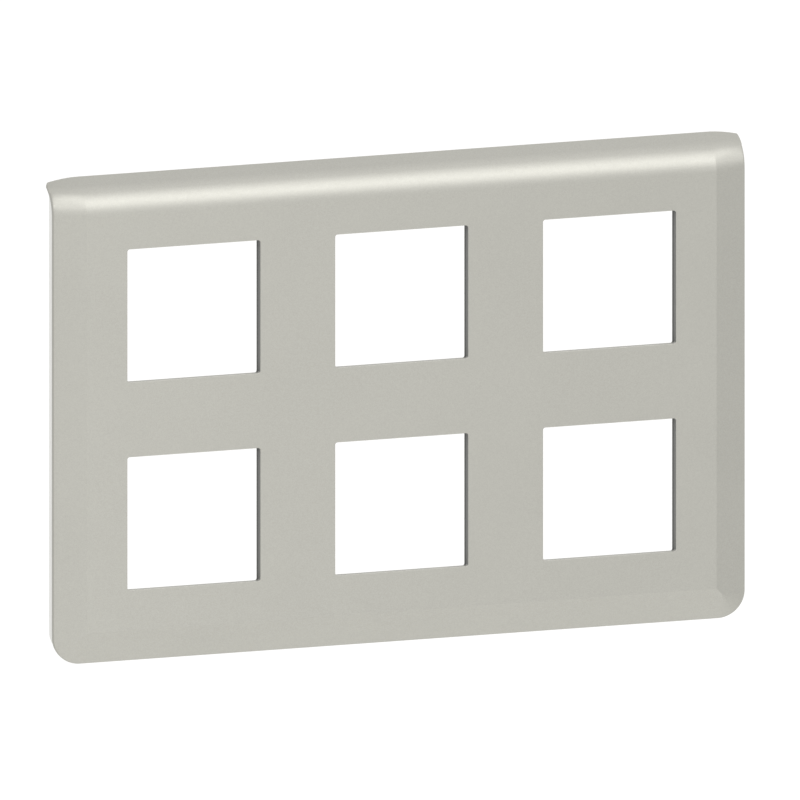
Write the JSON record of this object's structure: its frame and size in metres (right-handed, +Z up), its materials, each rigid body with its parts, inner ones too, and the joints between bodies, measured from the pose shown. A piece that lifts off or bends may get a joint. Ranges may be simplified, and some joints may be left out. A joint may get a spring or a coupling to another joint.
{
  "type": "wall cover plate",
  "caption": "Moulded wall cover plate with two rows of square windows for light switches, bevelled sides and foot, and a rolled cove along its top.",
  "frame": {"origin": "middle of the window grid, on the plane of the wall", "axes": "+X along the plate's width, +Y into the wall, +Z up; the plate faces -Y"},
  "size_m": [0.2364, 0.0123, 0.1641],
  "materials": {
    "lacquered_plastic": "satin metallic lacquer on moulded plastic"
  },
  "bodies": {
    "root": {"cover_plate": "lacquered_plastic"}
  },
  "joints": []
}
